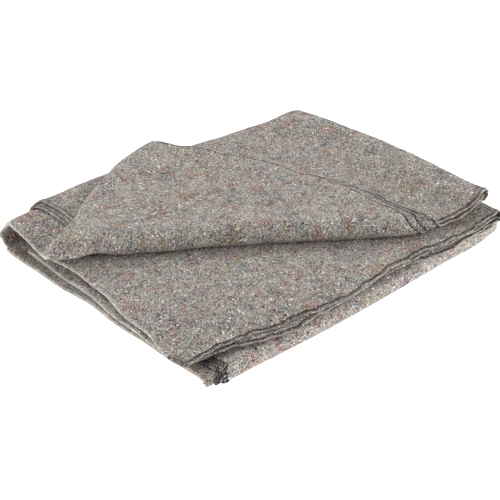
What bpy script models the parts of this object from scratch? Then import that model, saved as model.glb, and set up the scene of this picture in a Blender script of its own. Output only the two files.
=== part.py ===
"""A folded relief blanket of felted wool, in metres, +Z up.

One cut panel lies folded into a pack of sixteen layers. Two folds one way lay it four layers thick,
and two folds the other way make four stacks of that. The near corner of the top stack is turned back.

x runs across the pack, from the side of the free long edges to the side of the hairpin bends.
y runs along the pack, from its front, where the ends of the cloth lie, to its back.

The cloth is first laid out as an ideal pack of flat, parallel layers. Its corner is turned back there,
and the pack then settles and goes askew. Each of these steps moves points one to one, so that no two
layers can cross.
"""

import math
from collections import namedtuple

import bmesh
import bpy
import numpy as np
from mathutils import Matrix

# The cloth
SHEET = 0.0018  # thickness
PITCH = 0.0031  # one layer and the air over it
STACK = 4 * PITCH  # the four layers of a stack
RUN = 0.385  # of one stack, from the front of the pack to its back

# The folds between the stacks
OUTER_FOLD = 0.378  # centre, in y, of the fold from the top stack down to the lowest
INNER_FOLD = 0.348  # centre, in y, of the fold from the second stack down to the third
BAND_FOLD = 0.003  # centre, in y, of the fold between the two lowest stacks, at the front

# The bends between the layers of a stack
HAIRPIN_REACH = 0.0062  # how far the outer bend stands out
NESTED_REACH = 0.0030  # how far the bend inside it stands out
CREASE_REACH = 0.0026  # how far the crease at the other side stands out

# The corner that is turned back
TURN_DISTANCE = 0.243  # from the front left corner to the line of the turn
TURN_HEADING = math.radians(55.2)  # of the way to that line, from +x
TURN_OPENING = 0.0030  # radius of the air inside the turn
TURN_STAGGER = 0.75  # 1 where each layer keeps its length round the turn, 0 where their ends stay level

# How the pack settles
EMPTY = 0.30  # share of its height that a layer's place keeps past the layer's free edge
EMPTY_AT_BACK = 0.65  # the same share beside the folds at the back, which hold their layers open
SETTLE_RUN = 0.034  # width of the slope past a free edge
ROUNDED = 0.07  # width of the zone that stands higher beside a bend

# Where each run's layers end, in x. The place counts along the cloth: 0 to 1 is the top stack, 1 to 2 the
# outer fold, 2 to 3 the lowest stack, 3 to 4 the front band, 4 to 5 the third stack, 5 to 6 the inner fold
# and 6 to 7 the second stack. The crease and the two free edges lie at low x, the bends at high x.
Ends = namedtuple("Ends", "place crease under_edge top_edge bend nested")
ENDS = (
    Ends(0.0, -0.040, 0.000, 0.010, 0.503, 0.497),
    Ends(0.3, -0.028, 0.012, 0.022, 0.507, 0.499),
    Ends(0.5, -0.014, 0.026, 0.036, 0.511, 0.501),
    Ends(0.75, -0.004, 0.046, 0.056, 0.507, 0.497),
    Ends(0.9, 0.004, 0.048, 0.058, 0.502, 0.492),
    Ends(1.0, 0.005, 0.044, 0.054, 0.498, 0.488),
    Ends(1.5, -0.002, 0.040, 0.050, 0.490, 0.480),
    Ends(2.0, -0.004, 0.036, 0.046, 0.500, 0.490),
    Ends(2.25, -0.003, 0.034, 0.044, 0.508, 0.498),
    Ends(2.5, 0.003, 0.034, 0.044, 0.510, 0.500),
    Ends(3.0, 0.006, 0.022, 0.029, 0.510, 0.502),
    Ends(3.5, 0.005, 0.016, 0.024, 0.506, 0.498),
    Ends(4.0, 0.003, 0.026, 0.034, 0.508, 0.500),
    Ends(4.5, 0.006, 0.040, 0.050, 0.510, 0.500),
    Ends(5.0, 0.003, 0.044, 0.054, 0.506, 0.496),
    Ends(5.5, 0.002, 0.046, 0.056, 0.500, 0.490),
    Ends(6.0, 0.005, 0.044, 0.054, 0.504, 0.494),
    Ends(6.5, 0.014, 0.042, 0.052, 0.508, 0.498),
    Ends(6.8, 0.003, 0.042, 0.052, 0.510, 0.502),
    Ends(7.0, -0.006, 0.044, 0.054, 0.510, 0.503),
)

# The front and back of the pack and the ends of the two upper stacks, in y, across the pack
Front = namedtuple("Front", "x front back top_end second_end")
FRONT = (
    Front(-0.040, 0.004, 0.400, -0.016, 0.034),
    Front(0.010, 0.001, 0.400, -0.010, 0.031),
    Front(0.060, -0.001, 0.400, -0.024, 0.026),
    Front(0.110, -0.004, 0.399, -0.038, 0.013),
    Front(0.160, -0.007, 0.397, -0.042, 0.004),
    Front(0.220, -0.009, 0.392, -0.045, -0.004),
    Front(0.300, -0.010, 0.385, -0.028, 0.003),
    Front(0.350, -0.010, 0.379, -0.004, 0.007),
    Front(0.400, -0.010, 0.374, 0.008, 0.008),
    Front(0.460, -0.012, 0.369, 0.004, 0.008),
    Front(0.520, -0.006, 0.362, 0.010, -0.004),
)

# How much higher than its flat height each stack stands beside its bends and folds
Lift = namedtuple("Lift", "at_bends at_back at_front")
LIFT = (
    Lift(0.05, 0.05, 0.05),
    Lift(0.15, 0.10, 0.10),
    Lift(0.30, 0.25, 0.05),
    Lift(0.85, 0.35, 0.10),
)

# How finely the cloth is divided
RUN_SHARES = (0.0, 0.035, 0.07, 0.11, 0.17, 0.28, 0.45, 0.62, 0.79, 0.91, 1.0)  # crease to bends
HAIRPIN_STEPS = 6
NESTED_STEPS = 3
CREASE_STEPS = 4
ROW_SHARES = (  # of the way through each place, from 0 to 7
    (0.0, 0.13, 0.26, 0.39, 0.52, 0.65, 0.78, 0.87, 0.93),
    (0.0, 0.14, 0.29, 0.43, 0.57, 0.71, 0.86),
    (0.0, 0.08, 0.35, 0.65, 0.92),
    (0.0, 0.17, 0.33, 0.5, 0.67, 0.83),
    (0.0, 0.08, 0.35, 0.65, 0.90),
    (0.0, 0.2, 0.4, 0.6, 0.8),
    (0.0, 0.06, 0.19, 0.33, 0.48, 0.63, 0.78, 0.90),
)
TURN_CUTS = (0.0, 0.19, 0.38, 0.57, 0.76, 0.96, 1.18, 1.42)  # in lengths of the turn's middle layer
SHORTEST_EDGE = 0.0008  # that the cuts for the turn may leave

CLOTH_COLOUR = (0.23, 0.20, 0.18, 1.0)
CLOTH_ROUGHNESS = 0.95


def smooth(low, high, value):
    """0 up to low, 1 from high on, and an even slope between them."""
    share = np.clip((value - low) / (high - low), 0.0, 1.0)
    return share * share * (3.0 - 2.0 * share)


def through(table, column, place):
    """A smooth curve through one column of a table, level past both ends."""
    known = np.array([row[0] for row in table])
    values = np.array([getattr(row, column) for row in table])
    slopes = np.gradient(values, known)
    slopes[[0, -1]] = 0.0
    place = np.clip(place, known[0], known[-1])
    left = np.clip(np.searchsorted(known, place, side="right") - 1, 0, len(known) - 2)
    width = known[left + 1] - known[left]
    t = (place - known[left]) / width
    return (
        values[left] * (1.0 + 2.0 * t) * (1.0 - t) ** 2
        + values[left + 1] * t * t * (3.0 - 2.0 * t)
        + slopes[left] * width * t * (1.0 - t) ** 2
        - slopes[left + 1] * width * t * t * (1.0 - t)
    )


def columns():
    """The cloth's columns across the pack, from the top free edge to the one under it.

    Each is two named ends, the share of the way from the first to the second, how far the column stands
    out beyond them, and its height over the middle of the stack, in layers.
    """

    def bend(end, reach, start, finish, steps):
        turns = [math.pi * step / steps for step in range(steps)]
        middle, half = (start + finish) / 2, (start - finish) / 2
        return [(end, end, 0.0, reach * math.sin(a), middle + half * math.cos(a)) for a in turns]

    return (
        [("top_edge", "bend", share, 0.0, 1.5) for share in RUN_SHARES[:-1]]
        + bend("bend", HAIRPIN_REACH, 1.5, -1.5, HAIRPIN_STEPS)
        + [("crease", "bend", share, 0.0, -1.5) for share in RUN_SHARES[:0:-1]]
        + bend("crease", -CREASE_REACH, -1.5, -0.5, CREASE_STEPS)
        + [("crease", "nested", share, 0.0, -0.5) for share in RUN_SHARES[:-1]]
        + bend("nested", NESTED_REACH, -0.5, 0.5, NESTED_STEPS)
        + [("under_edge", "nested", share, 0.0, 0.5) for share in RUN_SHARES[::-1]]
    )


def rows():
    """The places of the cloth's rows along it, from the end of the top stack to that of the second."""
    places = [run + share for run, shares in enumerate(ROW_SHARES) for share in shares]
    return places + [float(len(ROW_SHARES))]


def lay(x, height, place):
    """The y and z, in the ideal pack, of a point at x, a height in its stack and a place along the cloth."""
    run = np.clip(np.floor(place), 0, 6)
    t = place - run
    offset = height * PITCH
    half_turn = math.pi * t
    top_end = through(FRONT, "top_end", x)
    second_end = through(FRONT, "second_end", x)
    routes = (
        (top_end + t * (OUTER_FOLD - top_end), 3.5 * STACK + offset),
        (
            OUTER_FOLD + (1.5 * STACK + offset) * np.sin(half_turn),
            2.0 * STACK + (1.5 * STACK + offset) * np.cos(half_turn),
        ),
        (OUTER_FOLD + t * (BAND_FOLD - OUTER_FOLD), 0.5 * STACK - offset),
        (
            BAND_FOLD - (0.5 * STACK + offset) * np.sin(half_turn),
            1.0 * STACK - (0.5 * STACK + offset) * np.cos(half_turn),
        ),
        (BAND_FOLD + t * (INNER_FOLD - BAND_FOLD), 1.5 * STACK + offset),
        (
            INNER_FOLD + (0.5 * STACK - offset) * np.sin(half_turn),
            2.0 * STACK - (0.5 * STACK - offset) * np.cos(half_turn),
        ),
        (INNER_FOLD + t * (second_end - INNER_FOLD), 2.5 * STACK - offset),
    )
    y = sum(np.where(run == index, route[0], 0.0) for index, route in enumerate(routes))
    z = sum(np.where(run == index, route[1], 0.0) for index, route in enumerate(routes))
    return y, z


def ideal_sheet():
    """The cloth in the ideal pack, as a grid of points, and which of its rows are in the top stack."""
    across = columns()
    places = np.array(rows())
    grid = np.zeros((len(places), len(across), 3))
    for index, (first, second, share, reach, height) in enumerate(across):
        start = through(ENDS, first, places)
        x = start + share * (through(ENDS, second, places) - start) + reach
        y, z = lay(x, height, places)
        grid[:, index] = np.stack([x, y, z], axis=1)
    return grid, places <= 1.0


def turn_axes(x, y):
    """How far a point lies from the front left corner, towards the turn and along it."""
    across = x * math.cos(TURN_HEADING) + y * math.sin(TURN_HEADING)
    along = x * math.sin(TURN_HEADING) - y * math.cos(TURN_HEADING)
    return across, along


def turn_back(x, y, z):
    """Rolls what is short of the turn's line up and over it, about an axis just above the top stack."""
    across, along = turn_axes(x, y)
    past = np.maximum(TURN_DISTANCE - across, 0.0)
    axis = 4.0 * STACK + TURN_OPENING
    radius = axis - z
    middle = TURN_OPENING + 0.5 * STACK
    stagger = TURN_STAGGER * smooth(0.10, 0.30, along)
    arc = middle + stagger * (radius - middle)
    angle = np.minimum(past / arc, math.pi)
    turned = TURN_DISTANCE - radius * np.sin(angle) + np.maximum(past - math.pi * arc, 0.0)
    across = np.where(past > 0.0, turned, across)
    z = axis - radius * np.cos(angle)
    return (
        across * math.cos(TURN_HEADING) + along * math.sin(TURN_HEADING),
        across * math.sin(TURN_HEADING) - along * math.cos(TURN_HEADING),
        z,
    )


def emptiness(x, y, edge):
    """How much of a layer's height its place loses at x and y, past its free edge."""
    kept = EMPTY + (EMPTY_AT_BACK - EMPTY) * smooth(OUTER_FOLD - 2.0 * ROUNDED, OUTER_FOLD, y)
    return (1.0 - kept) * (1.0 - smooth(edge - SETTLE_RUN, edge, x))


def slabs(x, y):
    """The height that each layer of the ideal pack takes at x and y, from the floor up, as (ideal, real)."""
    share = np.clip(y / OUTER_FOLD, 0.0, 1.0)
    places = (3.0 - share, 4.0 + share, 7.0 - share, share)
    in_stacks = 1.0 - smooth(INNER_FOLD - 0.03, INNER_FOLD + 0.01, y)
    held_open = (1.0, in_stacks, in_stacks, 1.0)
    layers = []
    for stack, (place, lift, held) in enumerate(zip(places, LIFT, held_open)):
        bend = through(ENDS, "bend", place)
        beside_bend = smooth(bend - ROUNDED, bend, x)
        rise = 1.0 + lift.at_bends * beside_bend
        rise = rise + lift.at_back * smooth(OUTER_FOLD - ROUNDED, OUTER_FOLD, y) * (1.0 - beside_bend)
        rise = rise + lift.at_front * (1.0 - smooth(0.0, ROUNDED, y)) * smooth(0.30, 0.40, x)
        top = 1.0 - held * emptiness(x, y, through(ENDS, "top_edge", place))
        under = 1.0 - held * emptiness(x, y, through(ENDS, "under_edge", place))
        whole = np.ones_like(x)
        order = (whole, whole, under, top) if stack in (1, 3) else (top, under, whole, whole)
        layers += [(PITCH, PITCH * rise * fill) for fill in order]

    across, along = turn_axes(x, y)
    beyond = across - TURN_DISTANCE
    layers.append((2.0 * TURN_OPENING, 2.0 * TURN_OPENING * (1.0 - 0.85 * smooth(0.0, 0.06, beyond))))
    flat_across = TURN_DISTANCE - beyond - math.pi * (TURN_OPENING + 0.5 * STACK)
    flat_x = flat_across * math.cos(TURN_HEADING) + along * math.sin(TURN_HEADING)
    flat_y = flat_across * math.sin(TURN_HEADING) - along * math.cos(TURN_HEADING)
    place = np.clip(flat_y / OUTER_FOLD, 0.0, 1.0)
    turned = smooth(0.0, 0.03, beyond)
    for edge in ("top_edge", "under_edge"):
        fill = 1.0 - turned * emptiness(flat_x, flat_y, through(ENDS, edge, place))
        layers.append((PITCH, PITCH * fill))
    return layers


def settle(x, y, z):
    """The real height of an ideal point: the sum of what the layers below it take."""
    base = 0.0
    real = np.zeros_like(z)
    for ideal, taken in slabs(x, y):
        real = real + taken * np.clip((z - base) / ideal, 0.0, 1.0)
        base += ideal
    return real + np.maximum(z - base, 0.0)


def skew(x, y):
    """The real y of an ideal point, between the front and the back of the real pack."""
    front = through(FRONT, "front", x)
    back = through(FRONT, "back", x)
    return front + y / RUN * (back - front)


def place_cloth(points):
    """The ideal points of the cloth, settled and set askew."""
    x, y, z = points.T
    return np.stack([x, skew(x, y), settle(x, y, z)], axis=1)


def wool():
    material = bpy.data.materials.new("felted_wool")
    material.use_nodes = True
    shader = material.node_tree.nodes["Principled BSDF"]
    shader.inputs["Base Color"].default_value = CLOTH_COLOUR
    shader.inputs["Roughness"].default_value = CLOTH_ROUGHNESS
    shader.inputs["Metallic"].default_value = 0.0
    return material


def cut_for_turn(mesh, top_faces):
    """Divides the top stack's faces along lines that run with the turn, so that they can bend there."""
    normal = (math.cos(TURN_HEADING), math.sin(TURN_HEADING), 0.0)
    bend_length = math.pi * (TURN_OPENING + 0.5 * STACK)
    for share in TURN_CUTS:
        distance = TURN_DISTANCE - bend_length * share
        edges = dict.fromkeys(edge for face in top_faces for edge in face.edges)
        points = dict.fromkeys(point for face in top_faces for point in face.verts)
        where = tuple(distance * part for part in normal)
        made = bmesh.ops.bisect_plane(
            mesh,
            geom=list(points) + list(edges) + top_faces,
            dist=1e-6,
            plane_co=where,
            plane_no=normal,
        )
        top_faces = [item for item in made["geom"] if isinstance(item, bmesh.types.BMFace)]
    points = dict.fromkeys(point for face in top_faces for point in face.verts)
    bmesh.ops.remove_doubles(mesh, verts=list(points), dist=SHORTEST_EDGE)


def build_blanket(collection):
    """The whole cloth as one object: an open sheet, thickened on both sides."""
    grid, in_top = ideal_sheet()
    mesh = bmesh.new()
    points = [[mesh.verts.new(point) for point in row] for row in grid]
    top_faces = []
    for index in range(len(points) - 1):
        lower, upper = points[index], points[index + 1]
        faces = [mesh.faces.new(corners) for corners in zip(lower[:-1], lower[1:], upper[1:], upper[:-1])]
        if in_top[index + 1]:
            top_faces += faces
    cut_for_turn(mesh, top_faces)
    bmesh.ops.triangulate(mesh, faces=mesh.faces[:])

    flat = np.array([point.co for point in mesh.verts])
    in_stack = (flat[:, 2] > 3.0 * STACK) & (flat[:, 1] <= OUTER_FOLD)
    turned = np.stack(turn_back(*flat.T), axis=1)
    for point, place in zip(mesh.verts, place_cloth(np.where(in_stack[:, None], turned, flat))):
        point.co = place

    data = bpy.data.meshes.new("blanket")
    mesh.to_mesh(data)
    mesh.free()
    data.materials.append(wool())
    blanket = bpy.data.objects.new("blanket", data)
    collection.objects.link(blanket)
    thicken = blanket.modifiers.new("thickness", "SOLIDIFY")
    thicken.thickness = SHEET
    thicken.offset = 0.0
    return blanket


def stand_at_origin(blanket):
    """Moves the cloth so that the middle of the underside of its bounding box is at the origin."""
    shape = blanket.evaluated_get(bpy.context.evaluated_depsgraph_get())
    corners = np.array([point.co for point in shape.to_mesh().vertices])
    low, high = corners.min(axis=0), corners.max(axis=0)
    middle = ((low[0] + high[0]) / 2.0, (low[1] + high[1]) / 2.0, low[2])
    shape.to_mesh_clear()
    blanket.data.transform(Matrix.Translation(middle).inverted())


def main():
    for item in list(bpy.data.objects):
        bpy.data.objects.remove(item, do_unlink=True)
    collection = bpy.data.collections.new("wool_blanket")
    bpy.context.scene.collection.children.link(collection)
    stand_at_origin(build_blanket(collection))


main()
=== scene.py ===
"""The looks of the folded wool blanket.

The cloth is laid out again on the folds of its solid, as one fine sheet of felted wool with flecks and
stray fibres. Its four edges are oversewn in dark yarn, which is painted paler in places as a highlight.
A pale line painted along its crease is a highlight too. Lengths are in metres, +Z is up.

Every point of the cloth has a column, 0 to 7 across it, and a place, 0 to 7 along it. A new layer, fold
or bend begins at each whole number.
"""

import math
from collections import namedtuple

import bmesh
import bpy
import numpy as np
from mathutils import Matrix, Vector
from mathutils.bvhtree import BVHTree


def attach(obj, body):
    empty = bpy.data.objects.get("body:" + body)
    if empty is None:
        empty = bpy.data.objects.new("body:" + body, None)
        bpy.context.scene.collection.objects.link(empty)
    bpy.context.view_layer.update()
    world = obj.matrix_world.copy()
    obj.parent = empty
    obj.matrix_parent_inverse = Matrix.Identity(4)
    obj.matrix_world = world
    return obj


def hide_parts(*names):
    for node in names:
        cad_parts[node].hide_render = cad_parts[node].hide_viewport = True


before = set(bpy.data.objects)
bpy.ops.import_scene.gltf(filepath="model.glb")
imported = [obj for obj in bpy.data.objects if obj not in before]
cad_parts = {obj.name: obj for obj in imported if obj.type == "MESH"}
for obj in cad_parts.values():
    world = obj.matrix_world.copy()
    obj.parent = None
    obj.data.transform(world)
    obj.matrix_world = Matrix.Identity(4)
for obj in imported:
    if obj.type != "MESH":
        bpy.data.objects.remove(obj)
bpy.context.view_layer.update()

# The folded pack, as in the solid
PITCH = 0.0031  # one layer and the air over it
STACK = 4 * PITCH  # the four layers of a stack
RUN = 0.385  # of one stack, from the front of the pack to its back
OUTER_FOLD = 0.378  # centre, in y, of the fold from the top stack down to the lowest
INNER_FOLD = 0.348  # centre, in y, of the fold from the second stack down to the third
BAND_FOLD = 0.003  # centre, in y, of the fold between the two lowest stacks, at the front
HAIRPIN_REACH = 0.0062  # how far the outer bend stands out
NESTED_REACH = 0.0030  # how far the bend inside it stands out
CREASE_REACH = 0.0026  # how far the crease at the other side stands out
TO_ORIGIN = np.array([-0.25432, -0.20302, -0.00025])  # from the front left corner of the ideal pack

# The corner that is turned back
TURN_DISTANCE = 0.243  # from the front left corner to the line of the turn
TURN_HEADING = math.radians(55.2)  # of the way to that line, from +x
TURN_OPENING = 0.0030  # radius of the air inside the turn
TURN_STAGGER = 0.75  # 1 where each layer keeps its length round the turn, 0 where their ends stay level
STAGGERED = (0.10, 0.30)  # where along the turn the stagger begins and is whole

# How the pack settles. Here and below, a pair of lengths is where a change begins and where it is whole.
EMPTY = 0.30  # share of its height that a layer's place keeps past the layer's free edge
EMPTY_AT_BACK = 0.65  # the same share beside the folds at the back, which hold their layers open
SETTLE_RUN = 0.034  # width of the slope past a free edge
ROUNDED = 0.07  # width of the zone that stands higher beside a bend
HIGHER_AT_FRONT = (0.30, 0.40)  # in x
INNER_FOLD_FILLS = (INNER_FOLD - 0.03, INNER_FOLD + 0.01)  # in y
TURN_SHUTS = (0.0, 0.06)  # past the turn's line, where the air inside it closes
SHUT = 0.85  # share of that air that goes
CORNER_LIES = (0.0, 0.03)  # past the turn's line, where the corner's own free edges count

# Where the layers end, in x. Of the cloth's places, 0 to 1 is the top stack, 1 to 2 the outer fold, 2 to
# 3 the lowest stack, 3 to 4 the front band, 4 to 5 the third stack, 5 to 6 the inner fold and 6 to 7 the
# second stack.
Ends = namedtuple("Ends", "place crease under_edge top_edge bend nested")
ENDS = (
    Ends(0.0, -0.040, 0.000, 0.010, 0.499, 0.494),
    Ends(0.3, -0.028, 0.012, 0.022, 0.507, 0.499),
    Ends(0.5, -0.014, 0.026, 0.036, 0.511, 0.501),
    Ends(0.75, -0.004, 0.046, 0.056, 0.507, 0.497),
    Ends(0.9, 0.004, 0.048, 0.058, 0.502, 0.492),
    Ends(1.0, 0.005, 0.044, 0.054, 0.498, 0.488),
    Ends(1.5, -0.002, 0.040, 0.050, 0.490, 0.480),
    Ends(2.0, -0.004, 0.036, 0.046, 0.500, 0.490),
    Ends(2.25, -0.003, 0.034, 0.044, 0.508, 0.498),
    Ends(2.5, 0.003, 0.034, 0.044, 0.510, 0.500),
    Ends(3.0, 0.006, 0.016, 0.024, 0.510, 0.502),
    Ends(3.5, 0.005, 0.011, 0.019, 0.506, 0.498),
    Ends(4.0, 0.003, 0.018, 0.026, 0.508, 0.500),
    Ends(4.5, 0.006, 0.040, 0.050, 0.510, 0.500),
    Ends(5.0, 0.010, 0.044, 0.054, 0.506, 0.496),
    Ends(5.5, 0.022, 0.046, 0.056, 0.500, 0.490),
    Ends(6.0, 0.014, 0.044, 0.054, 0.504, 0.494),
    Ends(6.5, 0.014, 0.042, 0.052, 0.508, 0.498),
    Ends(6.8, 0.003, 0.042, 0.052, 0.502, 0.494),
    Ends(7.0, -0.006, 0.044, 0.054, 0.497, 0.490),
)

# The front and back of the pack and the ends of the two upper stacks, in y, across the pack
Front = namedtuple("Front", "x front back top_end second_end")
FRONT = (
    Front(-0.040, 0.004, 0.400, -0.016, 0.034),
    Front(0.010, 0.001, 0.400, -0.010, 0.031),
    Front(0.060, -0.001, 0.400, -0.024, 0.026),
    Front(0.110, -0.004, 0.399, -0.038, 0.013),
    Front(0.160, -0.007, 0.397, -0.042, 0.004),
    Front(0.220, -0.009, 0.392, -0.045, -0.004),
    Front(0.300, -0.010, 0.385, -0.028, 0.003),
    Front(0.350, -0.010, 0.379, -0.001, 0.002),
    Front(0.400, -0.010, 0.374, 0.017, -0.006),
    Front(0.460, -0.012, 0.369, 0.012, -0.010),
    Front(0.520, -0.006, 0.362, 0.014, -0.014),
)

# How far both ends of the cloth, that of the top stack and that of the second, stray from there in y:
# (column, by how much)
TOP_STRAY = (
    (0.0, 0.0), (0.5, -0.002), (0.65, -0.007), (0.8, -0.002), (1.0, -0.002),
    (2.0, 0.002), (2.15, 0.006), (2.30, 0.013), (2.42, 0.009), (2.5, 0.003),
    (2.61, 0.003), (2.70, -0.009), (2.77, -0.016), (2.83, -0.015), (2.88, -0.010),
    (2.91, -0.003), (2.94, 0.0), (2.97, -0.002), (3.0, 0.004), (4.0, 0.003),
    (4.4, 0.0), (4.55, -0.003), (4.68, 0.0), (4.8, 0.004), (5.0, 0.004),
    (6.0, -0.003), (6.30, -0.008), (6.45, -0.005), (6.6, 0.002), (7.0, 0.002),
)
SECOND_STRAY = (
    (0.0, 0.004), (0.5, 0.006), (1.0, -0.005), (1.5, -0.003), (2.0, 0.0),
    (2.3, -0.002), (2.5, 0.0), (2.64, -0.004), (2.78, -0.006), (2.84, -0.009),
    (2.90, -0.009), (2.95, -0.009), (3.0, -0.004), (4.0, -0.006), (4.06, -0.010),
    (4.10, -0.015), (4.16, -0.019), (4.21, -0.018), (4.31, -0.012), (4.38, -0.004),
    (4.44, 0.0), (4.60, 0.002), (4.70, -0.004), (4.80, -0.002), (4.90, 0.0),
    (5.0, -0.004), (6.0, -0.006), (6.1, -0.003), (6.27, -0.012), (6.36, -0.004),
    (6.55, 0.004), (6.77, -0.004), (6.9, -0.008), (7.0, 0.002),
)

# How far the turn's roll wanders from its straight line: (distance along the line, by how much)
TURN_BOW = (
    (-0.18, 0.001), (-0.15, -0.001), (-0.125, -0.007), (-0.10, -0.011), (-0.06, -0.009),
    (0.00, -0.003), (0.08, 0.002), (0.30, 0.002),
)
BOW_FADES = (-0.02, 0.05)  # past the line

# How much higher than its flat height each stack stands beside its bends and folds, from the lowest up
Lift = namedtuple("Lift", "at_bends at_back at_front")
LIFT = (
    Lift(0.05, 0.05, 0.05),
    Lift(0.15, 0.10, 0.10),
    Lift(0.30, 0.25, 0.05),
    Lift(0.85, 0.35, 0.10),
)

# The cloth's layers, in order across it. Each runs at a height over the middle of its stack, in layers,
# from one named end to the other. A bend stands out from its end and goes from one height to the next.
Layer = namedtuple("Layer", "start finish low high reach cells")
LAYERS = (
    Layer("top_edge", "bend", 1.5, 1.5, 0.0, 64),
    Layer("bend", "bend", 1.5, -1.5, HAIRPIN_REACH, 12),
    Layer("bend", "crease", -1.5, -1.5, 0.0, 64),
    Layer("crease", "crease", -1.5, -0.5, -CREASE_REACH, 8),
    Layer("crease", "nested", -0.5, -0.5, 0.0, 44),
    Layer("nested", "nested", -0.5, 0.5, NESTED_REACH, 6),
    Layer("nested", "under_edge", 0.5, 0.5, 0.0, 44),
)
RUN_CELLS = (56, 16, 18, 12, 16, 10, 48)  # from each whole place to the next
TURN_CUTS = 13
TURN_CUT_LENGTH = 1.5  # how far the cuts for the turn go, in lengths of the turn's middle layer
ON_A_CUT = 1e-6  # distance within which a corner already lies on a cut
SHORTEST_EDGE = 0.0004  # that the cuts may leave

# Small waves by which the creases, free edges and ends of the cloth wander: by how much, radians to each
# column or place, and shift
Ripple = namedtuple("Ripple", "by rate shift")
EDGE_RIPPLES = (Ripple(0.0018, 11.0, 0.6), Ripple(0.0012, 23.0, 2.0))
EDGE_SHIFTS = {"crease": 0.0, "top_edge": 0.21, "under_edge": 0.37}  # so that no two wander alike
END_RIPPLES = (Ripple(0.0011, 2.0 * math.pi * 9.3, 0.0), Ripple(0.0008, 2.0 * math.pi * 21.7, 0.0))

LOWEST = 0.0001  # of any point over the floor

# The sheet
HALF_SHEET = 0.00130
HALF_AT_EDGE = 0.00075  # where the stitching presses it thin
PRESSED = 0.006  # width of the pressed strip
STRIP_LINES = (0.0012, 0.003, PRESSED)  # extra lines of corners along it, from the edge
BESIDE = 0.0008  # how far to each side of a point its surface's direction is measured


def smooth(low, high, value):
    """0 up to low, 1 from high on, and an even slope between them."""
    share = np.clip((value - low) / (high - low), 0.0, 1.0)
    return share * share * (3.0 - 2.0 * share)


def curve(pairs, place):
    """A smooth curve through (place, value) pairs, level past both ends."""
    known, values = np.array(pairs).T
    slopes = np.gradient(values, known)
    slopes[[0, -1]] = 0.0
    place = np.clip(place, known[0], known[-1])
    left = np.clip(np.searchsorted(known, place, side="right") - 1, 0, len(known) - 2)
    width = known[left + 1] - known[left]
    t = (place - known[left]) / width
    return (
        values[left] * (1.0 + 2.0 * t) * (1.0 - t) ** 2
        + values[left + 1] * t * t * (3.0 - 2.0 * t)
        + slopes[left] * width * t * (1.0 - t) ** 2
        - slopes[left + 1] * width * t * t * (1.0 - t)
    )


def through(table, column, place):
    """The same through one column of a table."""
    return curve([(row[0], getattr(row, column)) for row in table], place)


def rippled(ripples, at):
    """How far some waves reach together at a column or place."""
    return sum(ripple.by * np.sin(ripple.rate * at + ripple.shift) for ripple in ripples)


def across_pack(column, place):
    """x and the height in its stack of each point of the cloth, in the ideal pack."""
    layer_index = np.clip(np.floor(column).astype(int), 0, len(LAYERS) - 1)
    t = column - layer_index
    ends = {name: through(ENDS, name, place) for name in Ends._fields[1:]}
    for name, shift in EDGE_SHIFTS.items():
        ends[name] = ends[name] + rippled(EDGE_RIPPLES, place + shift)
    x = np.zeros_like(place)
    height = np.zeros_like(place)
    for index, layer in enumerate(LAYERS):
        here = layer_index == index
        turn = math.pi * t
        middle, half = (layer.low + layer.high) / 2, (layer.low - layer.high) / 2
        along = ends[layer.start] + t * (ends[layer.finish] - ends[layer.start])
        x = np.where(here, along + layer.reach * np.sin(turn), x)
        height = np.where(here, middle + half * np.cos(turn), height)
    return x, height


def along_pack(column, x, height, place):
    """y and z of each point of the cloth, in the ideal pack."""
    run = np.clip(np.floor(place), 0, 6)
    t = place - run
    offset = height * PITCH
    half_turn = math.pi * t
    wavy = rippled(END_RIPPLES, column)
    top_end = through(FRONT, "top_end", x) + curve(TOP_STRAY, column) + wavy
    second_end = through(FRONT, "second_end", x) + curve(SECOND_STRAY, column) + wavy

    def fold(centre, level, out, up):
        return centre + out * np.sin(half_turn), level + up * np.cos(half_turn)

    outer, band, inner = 1.5 * STACK + offset, 0.5 * STACK + offset, 0.5 * STACK - offset
    routes = (
        (top_end + t * (OUTER_FOLD - top_end), 3.5 * STACK + offset),
        fold(OUTER_FOLD, 2.0 * STACK, outer, outer),
        (OUTER_FOLD + t * (BAND_FOLD - OUTER_FOLD), 0.5 * STACK - offset),
        fold(BAND_FOLD, STACK, -band, -band),
        (BAND_FOLD + t * (INNER_FOLD - BAND_FOLD), 1.5 * STACK + offset),
        fold(INNER_FOLD, 2.0 * STACK, inner, -inner),
        (INNER_FOLD + t * (second_end - INNER_FOLD), 2.5 * STACK - offset),
    )
    y = sum(np.where(run == index, route[0], 0.0) for index, route in enumerate(routes))
    z = sum(np.where(run == index, route[1], 0.0) for index, route in enumerate(routes))
    return y, z


def turn_axes(x, y):
    """Turns x and y into distances towards the turn and along it, from the front left corner, or back."""
    across = x * math.cos(TURN_HEADING) + y * math.sin(TURN_HEADING)
    along = x * math.sin(TURN_HEADING) - y * math.cos(TURN_HEADING)
    return across, along


def turn_back(x, y, z):
    """Rolls what is short of the turn's line up and over it, about an axis just above the top stack."""
    across, along = turn_axes(x, y)
    past = np.maximum(TURN_DISTANCE - across, 0.0)
    axis = 4.0 * STACK + TURN_OPENING
    radius = axis - z
    middle = TURN_OPENING + 0.5 * STACK
    stagger = TURN_STAGGER * smooth(*STAGGERED, along)
    arc = middle + stagger * (radius - middle)
    angle = np.minimum(past / arc, math.pi)
    turned = TURN_DISTANCE - radius * np.sin(angle) + np.maximum(past - math.pi * arc, 0.0)
    across = np.where(past > 0.0, turned, across)
    beside_line = 1.0 - smooth(*BOW_FADES, across - TURN_DISTANCE)
    across = across + curve(TURN_BOW, along) * beside_line
    x, y = turn_axes(across, along)
    return x, y, axis - radius * np.cos(angle)


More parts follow.
